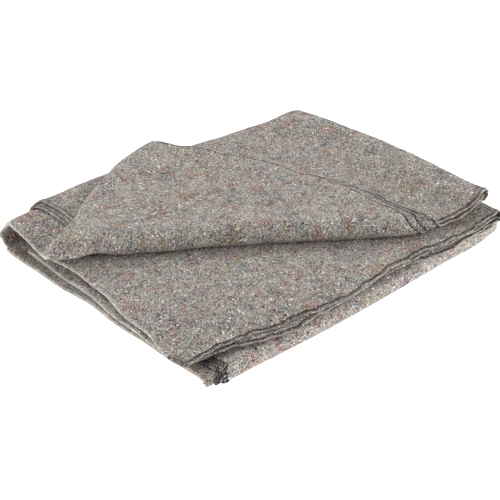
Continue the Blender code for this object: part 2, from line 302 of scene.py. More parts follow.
def emptiness(x, y, edge):
    """How much of a layer's height its place loses at x and y, past its free edge."""
    kept = EMPTY + (EMPTY_AT_BACK - EMPTY) * smooth(OUTER_FOLD - 2.0 * ROUNDED, OUTER_FOLD, y)
    return (1.0 - kept) * (1.0 - smooth(edge - SETTLE_RUN, edge, x))


def slabs(x, y):
    """The heights that each layer takes at x and y in the ideal and the real pack, from the floor up."""
    share = np.clip(y / OUTER_FOLD, 0.0, 1.0)
    places = (3.0 - share, 4.0 + share, 7.0 - share, share)
    in_stacks = 1.0 - smooth(*INNER_FOLD_FILLS, y)
    held_open = (1.0, in_stacks, in_stacks, 1.0)
    layers = []
    for stack, (place, lift, held) in enumerate(zip(places, LIFT, held_open)):
        bend = through(ENDS, "bend", place)
        beside_bend = smooth(bend - ROUNDED, bend, x)
        rise = 1.0 + lift.at_bends * beside_bend
        rise = rise + lift.at_back * smooth(OUTER_FOLD - ROUNDED, OUTER_FOLD, y) * (1.0 - beside_bend)
        rise = rise + lift.at_front * (1.0 - smooth(0.0, ROUNDED, y)) * smooth(*HIGHER_AT_FRONT, x)
        top = 1.0 - held * emptiness(x, y, through(ENDS, "top_edge", place))
        under = 1.0 - held * emptiness(x, y, through(ENDS, "under_edge", place))
        whole = np.ones_like(x)
        order = (whole, whole, under, top) if stack in (1, 3) else (top, under, whole, whole)
        layers += [(PITCH, PITCH * rise * fill) for fill in order]

    across, along = turn_axes(x, y)
    beyond = across - TURN_DISTANCE
    air = 2.0 * TURN_OPENING
    layers.append((air, air * (1.0 - SHUT * smooth(*TURN_SHUTS, beyond))))
    flat_across = TURN_DISTANCE - beyond - math.pi * (TURN_OPENING + 0.5 * STACK)
    flat_x, flat_y = turn_axes(flat_across, along)
    place = np.clip(flat_y / OUTER_FOLD, 0.0, 1.0)
    turned = smooth(*CORNER_LIES, beyond)
    for edge in ("top_edge", "under_edge"):
        fill = 1.0 - turned * emptiness(flat_x, flat_y, through(ENDS, edge, place))
        layers.append((PITCH, PITCH * fill))
    return layers


def settle(x, y, z):
    """The real height of an ideal point: the sum of what the layers below it take."""
    base = 0.0
    real = np.zeros_like(z)
    for ideal, taken in slabs(x, y):
        real = real + taken * np.clip((z - base) / ideal, 0.0, 1.0)
        base += ideal
    return real + np.maximum(z - base, 0.0)


def skew(x, y):
    """The real y of an ideal point, between the front and the back of the real pack."""
    front = through(FRONT, "front", x)
    back = through(FRONT, "back", x)
    return front + y / RUN * (back - front)


# Soft troughs and ridges, from (x, y) to (x, y) in the ideal pack, on layers at places from first to last
Crease = namedtuple("Crease", "x0 y0 x1 y1 width rise first last", defaults=(0, 7))
CREASES = (
    Crease(0.14, 0.40, 0.40, 0.36, 0.030, 0.0022),
    Crease(0.16, 0.33, 0.44, 0.30, 0.028, -0.0016),
    Crease(0.36, 0.10, 0.48, 0.24, 0.030, -0.0014),
    Crease(0.25, 0.22, 0.40, 0.20, 0.026, 0.0012),
    Crease(0.06, 0.33, 0.16, 0.26, 0.022, 0.0014),
    Crease(0.10, 0.14, 0.30, 0.05, 0.030, -0.0010),
    Crease(0.06, 0.10, 0.16, 0.04, 0.022, 0.0010),
    Crease(-0.03, 0.290, 0.03, 0.248, 0.034, 0.0070, 0, 1),
    Crease(0.02, 0.010, 0.11, 0.005, 0.035, -0.0040, 5, 7),
    Crease(0.00, 0.010, 0.030, 0.025, 0.018, -0.0110, 2, 5),
    Crease(0.10, -0.008, 0.46, -0.010, 0.009, -0.0020, 6.6, 7),
)
# Small waves all over it: waves to a metre in x and in y, shift, and height
Wave = namedtuple("Wave", "in_x in_y shift rise")
WAVES = (
    Wave(7.0, 11.0, 0.3, 0.00040),
    Wave(13.0, -6.0, 1.9, 0.00032),
    Wave(19.0, 9.0, 4.0, 0.00022),
    Wave(-9.0, 21.0, 2.6, 0.00022),
)
FULL_RELIEF = 0.035  # height at which the relief is whole
RELIEF_FADES = (0.1, 0.6)  # in places past a trough's or ridge's own

# The waves along the side of the creases
SIDE_WAVE = 0.0016  # height
SIDE_WAVE_LENGTH = 0.12
SIDE_WAVE_LEAN = 80.0  # radians to each metre of height
SIDE_WAVE_FADES = (-0.01, 0.06)  # in x


def relief(x, y, z, place):
    """How far a point of the pack lies over or under its plain place."""
    rise = np.zeros_like(x)
    for wave in WAVES:
        rise = rise + wave.rise * np.sin(2.0 * math.pi * (wave.in_x * x + wave.in_y * y) + wave.shift)
    beside_creases = 1.0 - smooth(*SIDE_WAVE_FADES, x)
    turn = 2.0 * math.pi * y / SIDE_WAVE_LENGTH + SIDE_WAVE_LEAN * z
    rise = rise + SIDE_WAVE * beside_creases * np.sin(turn)
    rise = rise * np.clip(z / FULL_RELIEF, 0.0, 1.0)
    for crease in CREASES:
        dx, dy = crease.x1 - crease.x0, crease.y1 - crease.y0
        t = ((x - crease.x0) * dx + (y - crease.y0) * dy) / (dx * dx + dy * dy)
        t = np.clip(t, 0.0, 1.0)
        away = np.hypot(x - crease.x0 - t * dx, y - crease.y0 - t * dy)
        from_place = np.maximum(np.maximum(crease.first - place, place - crease.last), 0.0)
        weight = (1.0 - smooth(*RELIEF_FADES, from_place)) * np.clip(z / FULL_RELIEF, 0.0, 1.0)
        rise = rise + crease.rise * weight * np.exp(-((away / crease.width) ** 2))
    return rise


def middle_points(column, place):
    """The points of the cloth's middle surface, folded, settled and in the part's frame."""
    column, place = np.broadcast_arrays(np.asarray(column, float), np.asarray(place, float))
    x, height = across_pack(column, place)
    y, z = along_pack(column, x, height, place)
    turned = np.stack(turn_back(x, y, z), axis=-1)
    flat = np.stack([x, y, z], axis=-1)
    points = np.where((place <= 1.0)[..., None], turned, flat)
    x, y, z = points[..., 0], points[..., 1], points[..., 2]
    real = settle(x, y, z)
    placed = np.stack([x, skew(x, y), real + relief(x, y, real, place)], axis=-1)
    return placed + TO_ORIGIN


def measured(points):
    """How far each row of points has come along the flat cloth, as the mean over the row, in metres."""
    steps = np.linalg.norm(np.diff(points, axis=0), axis=-1)
    return np.concatenate([[0.0], np.cumsum(steps.mean(axis=1))])


# The cloth measured flat: at fine steps of the column or place, each over a spread of the other one
FINE = np.linspace(0.0, 7.0, 1401)
SPREAD = np.linspace(0.1, 6.9, 69)
ACROSS_AT = measured(middle_points(FINE[:, None], SPREAD[None, :]))
ALONG_AT = measured(np.swapaxes(middle_points(SPREAD[:, None], FINE[None, :]), 0, 1))
FLAT_ACROSS, FLAT_ALONG = float(ACROSS_AT[-1]), float(ALONG_AT[-1])


def surface(u, v):
    """The cloth's middle point and the outward way of its upper face, at metres across and along."""
    u = np.clip(u, 0.0, FLAT_ACROSS)
    v = np.clip(v, 0.0, FLAT_ALONG)

    def at(a, b):
        return middle_points(np.interp(a, ACROSS_AT, FINE), np.interp(b, ALONG_AT, FINE))

    across = at(u + BESIDE, v) - at(u - BESIDE, v)
    along = at(u, v + BESIDE) - at(u, v - BESIDE)
    normal = np.cross(across, along)
    length = np.linalg.norm(normal, axis=-1, keepdims=True)
    return at(u, v), normal / np.maximum(length, 1e-12)


def half_sheet(u, v):
    """Half of the cloth's thickness, which is less beside its edges."""
    inside = np.minimum(np.minimum(u, FLAT_ACROSS - u), np.minimum(v, FLAT_ALONG - v))
    return HALF_AT_EDGE + (HALF_SHEET - HALF_AT_EDGE) * smooth(0.0, PRESSED, inside)


# The cloth
CREASE = 3.5  # its column
CREASE_HIGHLIGHT_WIDTH = 0.28  # of the pale line painted along the crease as a highlight, in columns
CREASE_HIGHLIGHT = 0.27  # how much of the wool's colour the painted highlight takes
# colour of the highlight painted along the crease
CREASE_HIGHLIGHT_COLOUR = (0.80, 0.78, 0.73)


def mesh_object(name, corners, faces):
    """An object of smooth faces."""
    data = bpy.data.meshes.new(name)
    data.from_pydata(np.asarray(corners).tolist(), [], faces)
    data.polygons.foreach_set("use_smooth", np.ones(len(data.polygons), bool))
    data.update()
    return bpy.data.objects.new(name, data)


def stations(cells, more):
    """Numbers from 0 up, with as many steps to each whole number as it has cells, and some more."""
    steps = [index + share / count for index, count in enumerate(cells) for share in range(count)]
    return np.array(sorted(steps + [float(len(cells))] + more))


def strip_lines(table):
    """The columns or places of the lines beside both ends of a flat measure."""
    distances = [*STRIP_LINES, *(table[-1] - line for line in STRIP_LINES)]
    return [float(np.interp(distance, table, FINE)) for distance in distances]


def cut_for_turn(mesh, top_faces):
    """Divides the top stack's faces along lines that run with the turn, so that they can bend there."""
    normal = (math.cos(TURN_HEADING), math.sin(TURN_HEADING), 0.0)
    bend_length = math.pi * (TURN_OPENING + 0.5 * STACK)
    for cut in range(TURN_CUTS + 1):
        distance = TURN_DISTANCE - bend_length * TURN_CUT_LENGTH * cut / TURN_CUTS
        edges = dict.fromkeys(edge for face in top_faces for edge in face.edges)
        points = dict.fromkeys(point for face in top_faces for point in face.verts)
        made = bmesh.ops.bisect_plane(
            mesh,
            geom=list(points) + list(edges) + top_faces,
            dist=ON_A_CUT,
            plane_co=tuple(distance * part for part in normal),
            plane_no=normal,
        )
        top_faces = [item for item in made["geom"] if isinstance(item, bmesh.types.BMFace)]
    points = dict.fromkeys(point for face in top_faces for point in face.verts)
    bmesh.ops.remove_doubles(mesh, verts=list(points), dist=SHORTEST_EDGE)


def ideal_cloth(columns, places):
    """The middle of the cloth in the ideal pack. Each point keeps its column and place."""
    column, place = np.meshgrid(columns, places)
    x, height = across_pack(column, place)
    y, z = along_pack(column, x, height, place)
    mesh = bmesh.new()
    column_layer = mesh.verts.layers.float.new("column")
    place_layer = mesh.verts.layers.float.new("place")
    rows = []
    for row_place, row in zip(places, np.stack([x, y, z], axis=-1)):
        points = [mesh.verts.new(position) for position in row]
        for point, point_column in zip(points, columns):
            point[column_layer] = point_column
            point[place_layer] = row_place
        rows.append(points)
    top_faces = []
    for lower, upper, upper_place in zip(rows[:-1], rows[1:], places[1:]):
        faces = [mesh.faces.new(corners) for corners in zip(lower[:-1], lower[1:], upper[1:], upper[:-1])]
        if upper_place <= 1.0:
            top_faces += faces
    cut_for_turn(mesh, top_faces)
    mesh.verts.index_update()
    return mesh


def rim_of(mesh):
    """The two corners of each free edge, in the order in which its face goes round."""
    rim = []
    for edge in mesh.edges:
        if len(edge.link_faces) == 1:
            a, b = (point.index for point in edge.verts)
            order = [point.index for point in edge.link_faces[0].verts]
            forward = order[(order.index(a) + 1) % len(order)] == b
            rim.append((a, b) if forward else (b, a))
    return rim


def build_cloth():
    """The cloth as one closed sheet of felt."""
    columns = stations([layer.cells for layer in LAYERS], strip_lines(ACROSS_AT))
    places = stations(RUN_CELLS, strip_lines(ALONG_AT))
    mesh = ideal_cloth(columns, places)
    layers = mesh.verts.layers.float
    column = np.array([point[layers["column"]] for point in mesh.verts])
    place = np.array([point[layers["place"]] for point in mesh.verts])
    upper = [tuple(point.index for point in face.verts) for face in mesh.faces]
    rim = rim_of(mesh)
    mesh.free()

    u, v = np.interp(column, FINE, ACROSS_AT), np.interp(place, FINE, ALONG_AT)
    middle, outward = surface(u, v)
    half = half_sheet(u, v)[:, None]
    corners = np.concatenate([middle + outward * half, middle - outward * half])
    corners[:, 2] = np.maximum(corners[:, 2], LOWEST)
    count = len(middle)
    lower = [tuple(count + index for index in reversed(face)) for face in upper]
    walls = [(b, a, a + count, b + count) for a, b in rim]
    cloth = mesh_object("felted_cloth", corners, upper + lower + walls)
    # A highlight painted along the crease, in place of light on its rim
    crease_highlight = CREASE_HIGHLIGHT * np.exp(-(((column - CREASE) / CREASE_HIGHLIGHT_WIDTH) ** 2))
    cloth.data.attributes.new("crease_highlight", "FLOAT", "POINT").data.foreach_set("value", np.tile(crease_highlight, 2))
    return cloth


# The yarn and the fibres
ASKEW = np.array([0.31, 0.47, 0.83])  # a direction that they hardly ever take


def tubes(name, paths, radius, sides, colour):
    """Closed tubes along paths, an array of (tube, point, axis), with a colour for each tube or point."""
    count, length = paths.shape[:2]
    ahead = np.gradient(paths, axis=1)
    ahead /= np.maximum(np.linalg.norm(ahead, axis=-1, keepdims=True), 1e-12)
    aside = np.cross(ahead, ASKEW)
    aside /= np.maximum(np.linalg.norm(aside, axis=-1, keepdims=True), 1e-12)
    over = np.cross(ahead, aside)
    angles = 2.0 * math.pi * np.arange(sides) / sides
    radius = np.broadcast_to(radius, (count, length))[..., None, None]
    ring = aside[:, :, None] * np.cos(angles)[:, None] + over[:, :, None] * np.sin(angles)[:, None]
    corners = (paths[:, :, None] + radius * ring).reshape(-1, 3)
    corners[:, 2] = np.maximum(corners[:, 2], LOWEST)
    base = np.arange(length - 1)[:, None] * sides
    a = base + np.arange(sides)[None, :]
    b = base + (np.arange(sides)[None, :] + 1) % sides
    one = np.stack([a, b, b + sides, a + sides], axis=-1).reshape(-1, 4)
    starts = (np.arange(count) * length * sides)[:, None]
    walls = (one[None] + starts[:, None]).reshape(-1, 4)
    first = np.arange(sides)[::-1]
    last = (length - 1) * sides + np.arange(sides)
    caps = np.concatenate([first[None] + starts, last[None] + starts])
    made = mesh_object(name, corners, walls.tolist() + caps.tolist())
    tint = np.ones((count, length, sides, 4))
    tint[..., :3] = np.clip(colour, 0.0, 1.0)[:, :, None]
    made.data.color_attributes.new("tint", "FLOAT_COLOR", "POINT").data.foreach_set("color", tint.ravel())
    return made


# The oversewn edges
STITCH = 0.0034  # length along the edge
STITCH_DEPTH = 0.0042  # from the edge to the needle's line
DEPTH_VARIES = 0.08  # share of that depth
START_VARIES = 0.00018
NEEDLE_GAP = 0.06  # at each end of the needle's stitch, as a share of it
LOOPER_POINTS, NEEDLE_POINTS = 11, 5  # along one stitch
WRAP = 1.8  # how closely the yarn goes round the edge
YARN = 0.00050  # radius
YARN_SIDES = 4
LOOPER_STANDS, NEEDLE_STANDS = 0.55, 0.7  # off the cloth, in radii
NEEDLE_ENDS = 0.35  # share of that at the ends of a needle's stitch
NEEDLE_THICK = 0.9  # of the looper's radius
FRONT_FOLD_THICK = 0.9  # how much thicker the yarn is where it goes round the front fold, as a share

DARK_YARN = np.array([0.012, 0.012, 0.010])
# Pale yarn: a painted highlight where it turns over the edge, and its own paler tone along some stretches
PALE_YARN = np.array([0.46, 0.45, 0.41])
# The yarn's colour where a highlight is painted on it
HIGHLIT_YARN = np.array([0.78, 0.76, 0.70])
YARN_SHADES = (0.7, 1.1)
EDGE_HIGHLIGHT = (0.10, 0.45)  # where the painted highlight at the edge fades, from the edge inward, in shares of the depth
# The paler stretches follow a product of waves round the cloth: metres to a radian, and shift
STRETCHES = ((0.011, 0.0), (0.037, 1.0), (0.0071, 2.0))
STRETCH_PALENESS = 0.45

# Where the painted highlight on the yarn begins and where it is whole
HIGHLIT_ABOVE = (0.050, 0.062)  # in z, on top of the pack
HIGHLIT_INWARD = (-0.20, -0.05)  # in y, from the front to the middle of the top
HIGHLIT_BEHIND = (0.10, 0.14)  # in y, at the back
HIGHLIT_TIP = (0.225, 0.245)  # in x, at the tip of the top stack
HIGHLIT_TIP_ABOVE = (0.036, 0.044)  # in z, there
LESS_HIGHLIT = 0.6  # share of the painted highlight at the back and the tip
# how the painted highlight varies from stitch to stitch
HIGHLIGHT_VARIES = (0.7, 1.0)
# share of the painted highlight that the needle thread takes
NEEDLE_HIGHLIGHT = 0.18

# The front fold, where the yarn is thicker and painted dark as shade
FRONT_FOLD = 3.5  # its place
FRONT_FOLD_FADES = (0.5, 0.9)  # in places from there


def edge_points(distance, inset):
    """The flat place of a point at a distance round the cloth's edge, and inset from it."""
    sides = (FLAT_ACROSS, FLAT_ALONG, FLAT_ACROSS, FLAT_ALONG)
    starts = np.concatenate([[0.0], np.cumsum(sides)])
    distance = np.mod(distance, starts[-1])
    side = np.clip(np.searchsorted(starts, distance, side="right") - 1, 0, 3)
    t = distance - starts[side]
    u = np.select([side == 0, side == 1, side == 2], [t, FLAT_ACROSS - inset, FLAT_ACROSS - t], inset)
    v = np.select([side == 0, side == 1, side == 2], [inset, t, FLAT_ALONG - inset], FLAT_ALONG - t)
    return np.clip(u, 0.0, FLAT_ACROSS), np.clip(v, 0.0, FLAT_ALONG)


def stitches():
    """How many stitches go round the cloth, how long each is, and where each starts."""
    perimeter = 2.0 * (FLAT_ACROSS + FLAT_ALONG)
    count = int(perimeter / STITCH)
    return count, perimeter / count, np.arange(count) * perimeter / count


def painted_highlight(points):
    """How much highlight is painted on the yarn: on top of the pack, at its back and at its tip."""
    x, y, z = np.moveaxis(points, -1, 0)
    on_top = smooth(*HIGHLIT_ABOVE, z) * smooth(*HIGHLIT_INWARD, y)
    at_back = LESS_HIGHLIT * smooth(*HIGHLIT_BEHIND, y)
    at_tip = LESS_HIGHLIT * smooth(*HIGHLIT_TIP, x) * smooth(*HIGHLIT_TIP_ABOVE, z)
    return np.maximum(np.maximum(on_top, at_back), at_tip)


def in_front_fold(u, v):
    """1 where a long edge of the cloth goes round the front fold, and 0 elsewhere."""
    on_long_edge = np.minimum(u, FLAT_ACROSS - u) < 2.0 * STITCH_DEPTH
    away = np.abs(np.interp(v, ALONG_AT, FINE) - FRONT_FOLD)
    return np.where(on_long_edge, 1.0 - smooth(*FRONT_FOLD_FADES, away), 0.0)


def build_loopers(random):
    """The yarn that wraps the edge: in on the upper face, out to the edge, round it and in again below.

    It is dark by the needle's line, paler at the edge as a painted highlight and along some
    stretches, and palest where a highlight is painted high on the pack, at its back and at its tip.
    Round the front fold it is thicker and painted dark as shade.
    """
    count, pitch, start = stitches()
    t = np.linspace(0.0, 1.0, LOOPER_POINTS)[None]
    inward = 0.5 + 0.5 * np.cos(2.0 * math.pi * t)
    inset = STITCH_DEPTH * inward * (1.0 + random.normal(0.0, DEPTH_VARIES, (count, 1)))
    u, v = edge_points(start[:, None] + pitch * t + random.normal(0.0, START_VARIES, (count, 1)), inset)
    point, outward = surface(u, v)
    side = np.clip(WRAP * np.cos(math.pi * t), -1.0, 1.0)
    lift = (half_sheet(u, v) + YARN * LOOPER_STANDS) * side
    # Round the front fold the yarn is thicker, and painted dark as shade
    in_shaded_fold = in_front_fold(u, v)
    thick = YARN * (1.0 + FRONT_FOLD_THICK * in_shaded_fold)

    # A highlight painted high on the pack, at its back and at its tip
    highlight = painted_highlight(point) * random.uniform(*HIGHLIGHT_VARIES, (count, 1))
    stretch = np.prod([np.sin(start / length + shift) for length, shift in STRETCHES], axis=0)
    along_stretch = STRETCH_PALENESS * np.maximum(stretch, 0.0)[:, None]
    # Paler at the edge as a painted highlight and along stretches as its own tone, and painted dark as
    # shade round the front fold
    pale = np.maximum(1.0 - smooth(*EDGE_HIGHLIGHT, inward), along_stretch) * (1.0 - in_shaded_fold)
    colour = DARK_YARN + (PALE_YARN - DARK_YARN) * pale[..., None]
    colour = colour + (HIGHLIT_YARN - colour) * highlight[..., None]
    colour = colour * random.uniform(*YARN_SHADES, (count, 1, 1))
    return tubes("edge_loopers", point + outward * lift[..., None], thick, YARN_SIDES, colour)


def build_needle_thread():
    """The straight stitches along the loopers' inner ends, on both faces."""
    _, pitch, start = stitches()
    t = np.linspace(0.0, 1.0, NEEDLE_POINTS)[None]
    share = NEEDLE_GAP + (1.0 - 2.0 * NEEDLE_GAP) * t
    u, v = edge_points(start[:, None] + pitch * share, STITCH_DEPTH)
    point, outward = surface(u, v)
    bow = NEEDLE_ENDS + (1.0 - NEEDLE_ENDS) * np.sin(math.pi * t)
    lift = half_sheet(u, v) + YARN * NEEDLE_STANDS * bow
    paths = np.concatenate([point + outward * lift[..., None], point - outward * lift[..., None]])
    # The needle thread takes a little of the painted highlight
    colour = DARK_YARN + NEEDLE_HIGHLIGHT * (HIGHLIT_YARN - DARK_YARN) * painted_highlight(paths)[..., None]
    return tubes("edge_needle_thread", paths, YARN * NEEDLE_THICK, YARN_SIDES, colour)


# Loose fibres: the flecks lie on the cloth, and the fuzz stands out of it
FIBRE_SIDES = 3
MARGIN = 0.004  # the least distance from the cloth's edges
FLOOR_GAP = 0.001  # the least height over the floor of a fibre that points level
FLOOR_REACH = 0.004  # how much more that is for one that points straight down


def exposed(tree, points, directions, reach=0.05, start=0.0006):
    """Which points have nothing over them, looking out along their direction."""
    clear = []
    for point, direction in zip(points, directions):
        way = Vector(direction)
        hit = tree.ray_cast(Vector(point) + way * start, way, reach)[0]
        clear.append(hit is None)
    return np.array(clear)


def scattered(random, tree, count, lift):
    """Flat places, faces and directions of a number of points that lie open to the air."""
    u = random.uniform(MARGIN, FLAT_ACROSS - MARGIN, count)
    v = random.uniform(MARGIN, FLAT_ALONG - MARGIN, count)
    side = np.where(random.uniform(size=count) < 0.5, 1.0, -1.0)
    point, outward = surface(u, v)
    outward = outward * side[:, None]
    point = point + outward * (half_sheet(u, v) + lift)[:, None]
    off_floor = point[:, 2] + FLOOR_REACH * outward[:, 2] > FLOOR_GAP
    keep = exposed(tree, point, outward) & off_floor
    return u[keep], v[keep], side[keep], point[keep], outward[keep]


FLECK_COLOURS = (
    (0.84, 0.82, 0.78),
    (0.035, 0.033, 0.035),
    (0.40, 0.10, 0.12),
    (0.10, 0.20, 0.26),
    (0.42, 0.26, 0.12),
    (0.22, 0.14, 0.28),
)
FLECK_SHARES = (0.56, 0.22, 0.09, 0.06, 0.05, 0.02)
FLECK_SHADES = (0.8, 1.15)
FLECK_POINTS = 7
FLECK_LENGTHS = (0.002, 0.014)
FLECK_GAMMA = (4.0, 0.0017)  # shape and scale of the spread of the lengths
FLECK_CURL, FLECK_BEND = 2.2, 1.2  # how far a fleck turns along its length, in radians
FLECK_OVER, FLECK_ARCH = 0.00006, 0.0005  # how high its ends lie on the felt, and its middle over them
FLECK_RADII = (0.00010, 0.00026)
FLECK_TAPER = 0.7  # share of its radius that is gone at its ends
THREADS = 0.03  # share of the flecks that are long white threads
THREAD_LENGTH = 2.2  # of a fleck's length
THREAD_RADIUS = 0.00040


def build_flecks(random, tree, tries):
    """Longer loose fibres that lie on the cloth in soft curves."""
    u, v, side, _, _ = scattered(random, tree, tries, 0.0)
    count = len(u)
    length = random.gamma(*FLECK_GAMMA, count).clip(*FLECK_LENGTHS)
    threads = random.uniform(size=count) < THREADS
    length = np.where(threads, THREAD_LENGTH * length, length)[:, None]
    heading = random.uniform(0.0, 2.0 * math.pi, (count, 1))
    curl = random.normal(0.0, FLECK_CURL, (count, 1))
    bend = random.normal(0.0, FLECK_BEND, (count, 1))
    t = np.linspace(-0.5, 0.5, FLECK_POINTS)[None]
    angle = heading + curl * t + bend * t**2
    stride = length / FLECK_POINTS
    u = u[:, None] + np.cumsum(np.cos(angle), axis=1) * stride
    v = v[:, None] + np.cumsum(np.sin(angle), axis=1) * stride
    point, outward = surface(u, v)
    arch = FLECK_ARCH * random.uniform(size=(count, 1)) ** 3 * np.cos(math.pi * t)
    height = (half_sheet(u, v) + FLECK_OVER + arch) * side[:, None]
    thick = random.uniform(*FLECK_RADII, (count, 1)) * (1.0 - FLECK_TAPER * (2.0 * np.abs(t)) ** 3)
    thick = np.where(threads[:, None], THREAD_RADIUS, thick)
    kind = np.where(threads, 0, random.choice(len(FLECK_COLOURS), count, p=FLECK_SHARES))
    colour = np.array(FLECK_COLOURS)[kind] * random.uniform(*FLECK_SHADES, (count, 1))
    return tubes("wool_flecks", point + outward * height[..., None], thick, FIBRE_SIDES, colour[:, None])


FUZZ_LENGTHS = (0.0006, 0.0050)
FUZZ_GAMMA = (2.5, 0.0007)
FUZZ_SINKS = 0.0001  # how deep its roots lie in the felt
FUZZ_STANDS = (0.15, 0.8)  # from flat to upright
FUZZ_DROOP = 0.3  # how much less the outer half stands
FUZZ_RADII = np.array([[0.00007, 0.00006, 0.00002]])  # at its root, middle and tip
FUZZ_COLOUR = np.array([[1.0, 0.95, 0.90]])
FUZZ_SHADES = (0.16, 0.62)
FUZZ_TINTS = (0.92, 1.08)


def build_fuzz(random, tree, tries):
    """Short fibre ends that stand out of the cloth all over, each a thin spike with one bend."""
    _, _, _, point, outward = scattered(random, tree, tries, -FUZZ_SINKS)
    count = len(point)
    lean = random.normal(0.0, 1.0, (count, 3))
    lean -= outward * (lean * outward).sum(axis=1, keepdims=True)
    lean /= np.linalg.norm(lean, axis=1, keepdims=True)
    length = random.gamma(*FUZZ_GAMMA, count).clip(*FUZZ_LENGTHS)[:, None]
    up = random.uniform(*FUZZ_STANDS, (count, 1))
    middle = point + (lean * (1.0 - up) + outward * up) * length * 0.5
    tip = middle + (lean + outward * (up - FUZZ_DROOP)) * length * 0.5
    paths = np.stack([point, middle, tip], axis=1)
    colour = random.uniform(*FUZZ_SHADES, (count, 1)) * FUZZ_COLOUR
    colour = colour * random.uniform(*FUZZ_TINTS, (count, 3))
    return tubes("wool_fuzz", paths, FUZZ_RADII, FIBRE_SIDES, colour[:, None])


# Materials
def new_material(name, settings):
    """A material, its tree of nodes and its shader, with some of the shader's inputs set."""
    material = bpy.data.materials.new(name)
    material.use_nodes = True
    tree = material.node_tree
    shader = tree.nodes["Principled BSDF"]
    for key, value in settings.items():
        shader.inputs[key].default_value = value
    return material, tree, shader


def node(tree, kind, **settings):
    """A node with some of its inputs or properties set."""
    made = tree.nodes.new(kind)
    for name, value in settings.items():
        if name in made.inputs:
            made.inputs[name].default_value = value
        else:
            setattr(made, name, value)
    return made


def feed(tree, sockets, values):
    """Gives each input its value, or a link where the value is another node's output."""
    for socket, value in zip(sockets, values):
        if isinstance(value, bpy.types.NodeSocket):
            tree.links.new(value, socket)
        else:
            socket.default_value = value


def calc(tree, operation, *values):
    """One step of arithmetic on numbers."""
    made = node(tree, "ShaderNodeMath", operation=operation)
    feed(tree, made.inputs, values)
    return made.outputs[0]


def vector(tree, operation, *values, result=0):
    """One step of arithmetic on vectors."""
    made = node(tree, "ShaderNodeVectorMath", operation=operation)
    feed(tree, made.inputs, values)
    return made.outputs[result]


def moved(tree, place, shift):
    """The place shifted, so that two layers of noise or cells don't coincide."""
    return vector(tree, "ADD", place, (shift, shift * 0.7, shift * 0.4))


def ramp(tree, source, stops):
    """A colour ramp through (position, colour or grey) stops."""
    made = tree.nodes.new("ShaderNodeValToRGB")
    elements = made.color_ramp.elements
    while len(elements) < len(stops):
        elements.new(0.5)
    for element, (position, colour) in zip(elements, stops):
        element.position = position
        grey = isinstance(colour, float)
        element.color = (colour, colour, colour, 1.0) if grey else (*colour, 1.0)
    tree.links.new(source, made.inputs["Fac"])
    return made.outputs["Color"]


def mixed(tree, share, first, second, blend="MIX"):
    """One colour laid over another, by a share."""
    made = node(tree, "ShaderNodeMix", data_type="RGBA", blend_type=blend)
    values = [(*value, 1.0) if isinstance(value, tuple) else value for value in (share, first, second)]
    feed(tree, (made.inputs[0], made.inputs[6], made.inputs[7]), values)
    return made.outputs[2]


def noise(tree, place, scale, detail=2.0, rough=0.5, shift=0.0, distortion=0.0):
    """Noise of a number of waves to a metre."""
    made = node(
        tree, "ShaderNodeTexNoise", Scale=scale, Detail=detail, Roughness=rough, Distortion=distortion
    )
    tree.links.new(moved(tree, place, shift) if shift else place, made.inputs["Vector"])
    return made


def step(tree, value, low, high, first, last):
    """A smooth step from first to last, as a value goes from low to high."""
    limits = {"From Min": low, "From Max": high, "To Min": first, "To Max": last}
    made = node(tree, "ShaderNodeMapRange", interpolation_type="SMOOTHSTEP", **limits)
    tree.links.new(value, made.inputs["Value"])
    return made.outputs["Result"]


def cells_at(tree, place, scale):
    """Scattered cells, and three random numbers for each."""
    cells = node(tree, "ShaderNodeTexVoronoi", Scale=scale)
    tree.links.new(place, cells.inputs["Vector"])
    pick = tree.nodes.new("ShaderNodeSeparateColor")
    tree.links.new(cells.outputs["Color"], pick.inputs[0])
    return cells.outputs, pick.outputs


def strokes(tree, place, normal, shift, kind):
    """Short curved fibres that lie every way on the surface: where they are, and a random number each."""
    here = moved(tree, place, shift)
    cells, pick = cells_at(tree, here, kind.scale)
    away = vector(tree, "SUBTRACT", here, cells["Position"])
    any_way = vector(tree, "SUBTRACT", cells["Color"], (0.5, 0.5, 0.5))
    ahead = vector(tree, "NORMALIZE", vector(tree, "CROSS_PRODUCT", any_way, normal))
    aside = vector(tree, "CROSS_PRODUCT", ahead, normal)
    along = vector(tree, "DOT_PRODUCT", away, ahead, result=1)
    across = vector(tree, "DOT_PRODUCT", away, aside, result=1)
    curl = calc(tree, "MULTIPLY_ADD", pick[1], 2.0 * FIBRE_CURL, -FIBRE_CURL)
    bow = calc(tree, "MULTIPLY", calc(tree, "MULTIPLY", along, along), curl)
    beside = calc(tree, "ABSOLUTE", calc(tree, "SUBTRACT", across, bow))
    near = step(tree, beside, kind.width * 0.2, kind.width * 0.6, 1.0, 0.0)
    within = step(tree, calc(tree, "ABSOLUTE", along), kind.length * 0.35, kind.length * 0.5, 1.0, 0.0)
    mask = calc(tree, "MULTIPLY", near, within)
    chosen = calc(tree, "LESS_THAN", pick[2], kind.share)
    return calc(tree, "MULTIPLY", mask, chosen), pick[1]


# Dyed wool that gathers in patches: waves to a metre, colour, where its noise starts and is full, share
Patch = namedtuple("Patch", "scale colour low high most")
PATCHES = (
    Patch(50.0, (0.49, 0.22, 0.245), 0.51, 0.71, 0.78),
    Patch(46.0, (0.18, 0.28, 0.33), 0.51, 0.70, 0.80),
    Patch(44.0, (0.42, 0.38, 0.20), 0.52, 0.71, 0.70),
    Patch(58.0, (0.29, 0.18, 0.34), 0.53, 0.70, 0.70),
)

